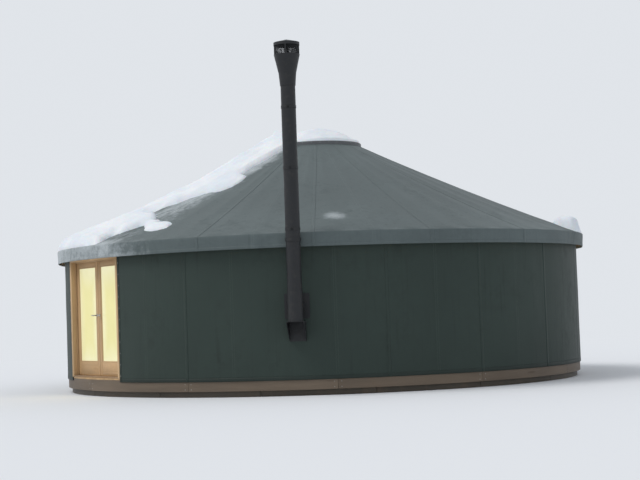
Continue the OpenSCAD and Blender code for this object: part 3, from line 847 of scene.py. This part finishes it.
def make_eave_snow():
    """A roll of snow along the eave that hangs over the hem's fold and tapers at its ends."""
    first, last, height, reach, droop = -110, 4, 0.14, 0.13, 0.06

    def skin(across, along):
        turn = radians(first + (last - first) * across)
        where = at(turn, eave_r, 0)
        x, y = cos(2 * pi * along), sin(2 * pi * along)
        ends = sqrt(max(smooth(across, 0, 0.12) * (1 - smooth(across, 0.95, 1)), 0.0001))
        lump = 1 + 0.3 * rough(where, 0.7, 1) + 0.18 * rough(where + Vector((0, 0, along)), 0.2, 1)
        low = droop * ends * max(0.7 + rough(where, 0.3, 6), 0)
        wide = reach * (0.35 + 0.65 * ends) * (1 + 0.2 * rough(where, 0.5, 4))
        radius = eave_r - 0.005 - wide + wide * x
        base = roof_z(min(radius, eave_r)) - 0.006
        z = base + height * ends * lump * y ** 0.8 if y >= 0 else base + low * smooth(x, 0.2, 1) * y
        return at(turn, min(radius, eave_r - 0.004 + 0.004 * ends), z)

    bm = laid(skin, 260, 24)
    bmesh.ops.remove_doubles(bm, verts=bm.verts, dist=0.0004)
    bmesh.ops.holes_fill(bm, edges=[edge for edge in bm.edges if edge.is_boundary], sides=0)
    piece("eave_snow_left", bm, snow, sharp=70)


def make_dome_snow():
    """The cap of snow that covers the skylight, turned from its profile and then made uneven."""
    flange = dome_low.z
    under = [(0.745, flange + 0.0004), (0.735, flange + 0.007), (0.70, flange + 0.007)]
    under += [(radius, dome_shell(radius) - 0.003) for radius in (0.63, 0.5, 0.3)] + [(0.0, dome_high.z - 0.003)]
    bm = new_mesh()
    line = [bm.verts.new((radius, 0, z)) for radius, z in dome_snow_line + under]
    full_turn(bm, line, [bm.edges.new(pair) for pair in zip(line, line[1:])], 72)
    bmesh.ops.remove_doubles(bm, verts=bm.verts, dist=0.0005)
    bmesh.ops.subdivide_edges(bm, edges=bm.edges[:], cuts=1, use_grid_fill=True, smooth=0.0)
    for vert in bm.verts:
        radius = vert.co.xy.length
        top = dome_shell(radius) if radius < dome_rim else flange + 0.01
        if vert.co.z > top + 0.02:
            vert.co.z += 0.013 * rough(vert.co, 0.3, 1) + 0.005 * rough(vert.co, 0.1, 2)
            vert.co.xy *= 1 + 0.012 * rough(vert.co, 0.2, 4)
    piece("dome_snow", bm, snow, sharp=70)


# Platform and floor

def make_platform():
    """Two round cores behind a rim and a foot of bent boards, and the rim's screws at each joint."""
    foot_top, foot_r, joints = 0.09, floor_r - 0.06, 12
    from_joint, screw_heights = 0.012, (0.035, 0.115)
    core = new_mesh()
    for radius, low, high in ((floor_r - 0.03, foot_top, floor_low), (foot_r - 0.045, 0, foot_top + 0.001)):
        bmesh.ops.create_cone(core, cap_ends=True, segments=192, radius1=radius, radius2=radius, depth=high - low,
                              matrix=Matrix.Translation((0, 0, (low + high) / 2)))
    layer = core.verts.layers.float_vector.new("grain")
    for vert in core.verts:
        vert[layer] = vert.co
    piece("platform_core", core, foot_wood, stands_for=["platform"])
    rim = new_mesh(grain=True)
    ring_of_boards(rim, floor_r - 0.028, floor_r, foot_top, floor_low - 0.0005, joints, steps=16)
    piece("platform_rim", rim, rim_wood)
    foot = new_mesh(grain=True)
    ring_of_boards(foot, foot_r - 0.044, foot_r, 0.0, foot_top - 0.0005, 16, gap=0.006, steps=12)
    piece("platform_foot", foot, foot_wood)
    heads = new_mesh()
    for joint in turns(joints, start=0):
        for turn in (joint - from_joint, joint + from_joint):
            for height in screw_heights:
                screw(heads, at(turn, floor_r + 0.0002, foot_top + height), at(turn, 1, 0), 0.0055)
    piece("platform_screws", heads, bare_steel)


def make_floor():
    """Planks that run in from the door, each cut to the round and laid with staggered joints."""
    bm = new_mesh(grain=True)
    width, gap, reach, end_plank = 0.14, 0.0015, floor_r - 0.002, 0.02
    count = int(2 * reach / width) + 1
    for number in range(count):
        left = -count * width / 2 + number * width + gap / 2
        right = left + width - gap
        if max(abs(left), abs(right)) >= reach - 0.01:
            if left > 0:
                right = min(right, reach - end_plank)
            else:
                left = max(left, end_plank - reach)
        half = sqrt(max(reach ** 2 - max(abs(left), abs(right)) ** 2, 0.01))
        joints = [-half] + [y for y in (-2.6 + 1.7 * ((number * 5) % 7) / 7, 0.9 + 1.7 * ((number * 3) % 7) / 7)
                            if -half + 0.3 < y < half - 0.3] + [half]
        for front, back in zip(joints, joints[1:]):
            verts = board(bm, (left, front + gap / 2, floor_low + 0.001),
                          (right, back - gap / 2, floor_top - 0.0002), "y", 0.0014, 1)
            for vert in verts:
                rim = sqrt(max(reach ** 2 - vert.co.x ** 2, 0.01))
                if front == -half and vert.co.y < front + 0.01:
                    vert.co.y += half - rim
                elif back == half and vert.co.y > back - 0.01:
                    vert.co.y += rim - half
    piece("floor_planks", bm, floor_wood, stands_for=["floor_boards"])


# Doorway

def make_frame():
    """Jambs and head with their stops, and the sill that falls to the outside."""
    opening, head = highest("door_sill").x, highest("left_jamb").z
    stop, fall = 0.015, 0.008
    for side, name in ((-1, "left"), (1, "right")):
        bm = new_mesh(grain=True)
        board(bm, (side * frame_half, frame_front, floor_top),
              (side * (opening + 0.0003), frame_back, head - 0.0003), "z", 0.004)
        board(bm, (side * (opening + 0.001), stop_front, floor_top + 0.0255),
              (side * (opening - stop), stop_back, head - 0.001), "z", 0.002)
        piece(f"{name}_door_jamb", bm, board_wood, stands_for=[f"{name}_jamb"])
    bm = new_mesh(grain=True)
    board(bm, (-frame_half, frame_front, head), (frame_half, frame_back, frame_top), "x", 0.004)
    board(bm, (-opening + stop + 0.0005, stop_front, head - stop),
          (opening - stop - 0.0005, stop_back, head + 0.001), "x", 0.002)
    piece("door_head", bm, board_wood, stands_for=["door_lintel"])
    bm = new_mesh(grain=True)
    board(bm, (-opening + 0.0005, frame_front, floor_top), (opening - 0.0005, frame_back, floor_top + 0.025),
          "x", 0.004, 3)
    bmesh.ops.bisect_plane(bm, geom=bm.verts[:] + bm.edges[:] + bm.faces[:], plane_co=(0, stop_front, 0),
                           plane_no=(0, 1, 0))
    for vert in bm.verts:
        if vert.co.z > floor_top + 0.013 and vert.co.y < stop_front:
            vert.co.z -= fall * (stop_front - vert.co.y) / (stop_front - frame_front)
    piece("door_threshold", bm, sill_wood, stands_for=["door_sill"])


def make_leaf(side, name):
    """One glazed leaf: stiles, rails and a bead on each side of the glass."""
    low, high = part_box(f"{name}_door")
    glass_low, glass_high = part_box(f"{name}_pane")
    hinge, free = (low.x, high.x) if side < 0 else (high.x, low.x)
    inward = -side
    stile, rail_low, joint, bead = 0.096, 0.22, 0.0003, 0.014
    inner_hinge, inner_free = hinge + inward * stile, free - inward * stile
    open_low, open_high = low.z + rail_low, high.z - stile
    bm = new_mesh(grain=True)
    for edge, inner in ((hinge, inner_hinge), (free, inner_free)):
        board(bm, (edge, low.y, low.z), (inner, high.y, high.z), "z")
    for z0, z1 in ((low.z, open_low), (open_high, high.z)):
        board(bm, (inner_hinge + inward * joint, low.y + 0.0006, z0),
              (inner_free - inward * joint, high.y - 0.0006, z1), "x")
    for y0, y1 in ((low.y + 0.002, glass_low.y - joint), (glass_high.y + joint, high.y - 0.002)):
        for z0, z1 in ((open_low, open_low + bead), (open_high - bead, open_high)):
            board(bm, (inner_hinge, y0, z0), (inner_free, y1, z1), "x", 0.004)
        for x0 in (inner_hinge, inner_free - inward * bead):
            board(bm, (x0, y0, open_low + bead), (x0 + inward * bead, y1, open_high - bead), "z", 0.004)
    piece(f"{name}_glazed_leaf", bm, door_wood, body=f"{name}_leaf", stands_for=[f"{name}_door"])


def make_door_screws():
    """Screw heads in the hinge plates, three above each other on each plate."""
    hinge_heights, pin_x, beside, leaf_low = (0.18, 0.945, 1.71), 0.8775, 0.03, lowest("left_door").z
    plate = frame_back + 0.0029
    for name, side in (("left", -1), ("right", 1)):
        on_frame, on_leaf = new_mesh(), new_mesh()
        for height in hinge_heights:
            for z in (-0.03, 0.0, 0.03):
                for bm, x in ((on_frame, pin_x + beside), (on_leaf, pin_x - beside)):
                    screw(bm, (side * x, plate, leaf_low + height + z), (0, 1, 0), 0.0038)
        piece(f"{name}_frame_screws", on_frame, hinge_steel)
        piece(f"{name}_leaf_screws", on_leaf, hinge_steel, body=f"{name}_leaf")


# Lattice bolts, skylight screws and flue parts

def make_lattice_bolts():
    """A bolt where two slats cross, all round but for the doorway."""
    bm = new_mesh()
    inner, from_edge = 4.5214, 0.02
    clear = asin((frame_half + 0.04) / inner)
    for level in range(slat_levels + 1):
        z = floor_top + slat_rise * level / slat_levels
        z += from_edge if level == 0 else -from_edge if level == slat_levels else 0
        for number in range(-slat_count, slat_count):
            turn = number * pi / slat_count
            if (number - level) % 2 == 0 and abs(turn) >= clear:
                screw(bm, at(turn, inner - 0.0008, z), -at(turn, 1, 0), 0.008, 8)
    piece("lattice_bolts", bm, bare_steel)


def make_skylight_screws():
    """Screws down through the dome's flange, and screws round the flashing that stands about the crown ring."""
    flange_thick, flashing_out, below_top = 0.0084, 0.0455, 0.012
    bm = new_mesh()
    for turn in turns(24):
        screw(bm, at(turn, dome_high.x - flange_wide / 2, dome_low.z + flange_thick), (0, 0, 1), 0.0065)
    for turn in turns(32):
        screw(bm, at(turn, ring_r + flashing_out, ring_high - below_top), at(turn, 1, 0), 0.0055)
    piece("skylight_screws", bm, bare_steel)


def flue_piece(name, bm):
    """A finished piece of the flue, moved from the Z axis to its place and turned to face out from the yurt."""
    place = Matrix.Translation((flue_x, flue_y, 0)) @ Matrix.Rotation(flue_turn, 4, "Z")
    bmesh.ops.transform(bm, matrix=place, verts=bm.verts)
    piece(name, bm, black_steel)


def make_flue_clamps():
    """Each band of the pipe gets its rolled edges, its ears and its bolt, and the pipe its long seam."""
    bm = new_mesh()
    section, roll, band_r = 0.914, 0.0016, 0.1155
    level = flue_low.z
    while level + section < flue_high.z - 0.1:
        level += section
        for z in (-0.017, 0.017):
            line = [bm.verts.new((band_r + roll * cos(pi * step / 3), 0, level + z + roll * sin(pi * step / 3)))
                    for step in range(6)]
            full_turn(bm, line, [bm.edges.new((line[step], line[step - 5])) for step in range(6)], 48)
        for side in (-1, 1):
            ear = block(bm, (0.002, 0.019, 0.03), Matrix.Translation((side * 0.009, -0.1245, level)))
            ease_edges(bm, edges_of(ear), 0.0006)
        bmesh.ops.create_cone(bm, cap_ends=True, segments=12, radius1=0.003, radius2=0.003, depth=0.034,
                              matrix=Matrix.Translation((0, -0.127, level)) @ Matrix.Rotation(pi / 2, 4, "Y"))
    flue_piece("flue_clamps", bm)
    seam = new_mesh()
    pipe_r = (flue_high.x - flue_low.x) / 2 - 0.005
    strip = block(seam, (0.011, 0.005, flue_high.z - flue_low.z - 0.004), Matrix.Rotation(radians(118), 4, "Z")
                  @ Matrix.Translation((0, -pipe_r, (flue_low.z + flue_high.z) / 2)))
    ease_edges(seam, edges_of(strip), 0.001, 2)
    flue_piece("flue_lock_seam", seam)


def make_spark_mesh():
    """Wires that cross between the cap's posts and keep sparks in."""
    cap_low, cap_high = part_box("flue_cap")
    below, above, inset = 0.466, 0.056, 0.0175
    low, high = cap_low.z + below, cap_high.z - above
    wires, rows, radius, half = 150, 24, (cap_high.x - cap_low.x) / 2 - inset, 0.0017
    bm = new_mesh()

    def wire(odd):
        """The skin of an upright wire, bent in and out past the level ones."""
        def skin(across, along):
            bend = half if round(along * rows + odd) % 2 else -half
            x, y = cos(2 * pi * across), sin(2 * pi * across)
            return Matrix.Rotation(2 * pi * odd / wires, 3, "Z") @ Vector(
                (radius + bend + half * x, half * y, low + (high - low) * along))
        return skin

    def hoop(z):
        """The skin of one level wire."""
        return lambda across, along: Matrix.Rotation(2 * pi * across, 3, "Z") @ Vector(
            (radius + half * cos(2 * pi * along), 0, z + half * sin(2 * pi * along)))

    for odd in (0, 1):
        lay(bm, wire(odd), 4, rows)
    bmesh.ops.spin(bm, geom=bm.verts[:] + bm.edges[:] + bm.faces[:], cent=(0, 0, 0), axis=(0, 0, 1),
                   angle=2 * pi * (wires - 2) / wires, steps=wires // 2 - 1, use_duplicate=True)
    for row in range(1, rows):
        lay(bm, hoop(low + (high - low) * row / rows), wires, 4)
    bmesh.ops.remove_doubles(bm, verts=bm.verts, dist=1e-5)
    flue_piece("spark_mesh", bm)


def make_flue_screws():
    """Bolts of the thimble's plate and of the bracket and stay, which fix them to the wall."""
    bm = new_mesh()
    out = at(flue_turn, 1, 0)
    side = round_way(flue_turn, 1)
    wall, eave = wall_r + 0.0063, eave_r + 0.0065
    bracket_top = highest("flue_bracket").z
    stay = (lowest("flue_stay").z + highest("flue_stay").z) / 2
    for radius, x, heights, size in (
            (wall, 0.165, (flue_level - 0.165, flue_level + 0.165), 0.008),
            (wall, 0.09, (bracket_top - 0.05, bracket_top - 0.25), 0.008),
            (eave, 0.075, (stay - 0.03, stay + 0.03), 0.006)):
        for z in heights:
            for way in (-1, 1):
                screw(bm, out * radius + side * x * way + Vector((0, 0, z)), out, size)
    piece("flue_bolts", bm, black_steel)


def dress_nodes():
    """Gives each node that stays in view its own finish."""
    finishes = {
        "lattice_outer": outer_slat_wood, "lattice_inner": inner_slat_wood, "tension_cable": bare_steel,
        "rafters_front": rafter_wood, "rafters_right": rafter_wood, "rafters_back": rafter_wood,
        "rafters_left": rafter_wood, "crown_ring": crown_wood, "skylight_flashing": flashing_metal,
        "skylight_dome": acrylic, "frame_hinges": hinge_steel, "left_pane": painted_glow_glass, "right_pane": painted_glow_glass,
        "left_fittings": lever_metal, "right_fittings": lever_metal}
    for part in ("thimble", "bracket", "tee", "pipe", "stay", "cap"):
        finishes[f"flue_{part}"] = black_steel
    for name, finish in finishes.items():
        nodes[name].data.materials.clear()
        nodes[name].data.materials.append(finish)


# Studio

def show(name, data, place=(0, 0, 0)):
    """Puts studio data into the scene."""
    made = bpy.data.objects.new(name, data)
    made.location = place
    bpy.context.scene.collection.objects.link(made)
    return made


def make_studio():
    """A pale backdrop and floor that meet without a line, and soft light at a plain level."""
    backdrop = {"Color": (0.75, 0.78, 0.82, 1), "Strength": 1.0}
    world = bpy.data.worlds.new("studio")
    bpy.context.scene.world = world
    world.use_nodes = True
    tree = world.node_tree
    tree.nodes.clear()
    path = put("LightPath", tree=tree).outputs
    rays = [path[f"Is {kind} Ray"] for kind in ("Camera", "Glossy", "Transmission")]
    seen = reduce(lambda first, second: calc("MAXIMUM", first, second), rays)
    light = put("Background", {"Color": (0.6, 0.62, 0.65, 1), "Strength": 1.0}, tree=tree).outputs[0]
    behind = put("Background", backdrop, tree=tree).outputs[0]
    put("OutputWorld", {"Surface": put("MixShader", {0: seen, 1: light, 2: behind}).outputs[0]})

    floor = bmesh.new()
    bmesh.ops.create_circle(floor, cap_ends=True, cap_tris=True, segments=96, radius=70)
    mesh = bpy.data.meshes.new("studio_floor")
    floor.to_mesh(mesh)
    floor.free()
    material, shader, place = new_material("studio_floor", {
        "Base Color": (0.8, 0.82, 0.85, 1), "Roughness": 0.9, "Specular IOR Level": 0.1})
    away = put("VectorMath", {0: place}, operation="LENGTH").outputs["Value"]
    glow = put("Emission", backdrop, tree=material.node_tree).outputs[0]
    mixed = put("MixShader", {0: spread(away, 7.5, 24.0), 1: shader.outputs[0], 2: glow}).outputs[0]
    fill(material.node_tree.nodes["Material Output"], {"Surface": mixed})
    mesh.materials.append(material)
    ground = show("studio_floor", mesh)

    sun = bpy.data.lights.new("soft_sun", "SUN")
    sun.energy, sun.color, sun.angle = 1.3, (1, 0.98, 0.95), radians(30)
    sun_beam = Vector((0.25, 0.75, -1.05))
    show("soft_sun", sun, (0, 0, 12)).rotation_euler = sun_beam.to_track_quat("-Z", "Y").to_euler()
    lamp = bpy.data.lights.new("inside_lamp", "POINT")
    lamp.energy, lamp.color, lamp.shadow_soft_size = 420, (1, 0.84, 0.6), 0.4
    show("inside_lamp", lamp, (0, 0, 2.7))


def make_camera():
    """The photograph's viewing angle: its height, its direction and its slight tilt, framed closer."""
    turn, away, height, tilt = radians(57.5), 27, 1.25, radians(-2)
    data = bpy.data.cameras.new("photo_camera")
    data.sensor_width, data.lens, data.clip_end = 36, 83.9, 200
    camera = show("photo_camera", data, at(turn, away, height))
    look = Vector((0, 0, 2.55)) - camera.location
    camera.rotation_euler = (look.to_track_quat("-Z", "Y").to_matrix() @ Matrix.Rotation(tilt, 3, "Z")).to_euler()
    bpy.context.scene.camera = camera


make_camera()
make_studio()
dress_nodes()
make_wall()
make_roof()
make_platform()
make_floor()
make_frame()
make_leaf(-1, "left")
make_leaf(1, "right")
make_door_screws()
make_lattice_bolts()
make_skylight_screws()
make_flue_clamps()
make_spark_mesh()
make_flue_screws()
make_dome_snow()
make_roof_snow("roof_snow", first=-150, last=34, columns=420, rows=104)
make_roof_snow("eave_snow_right", first=112, last=162, columns=120, rows=104)
make_eave_snow()
bpy.context.scene.view_settings.view_transform = "Standard"
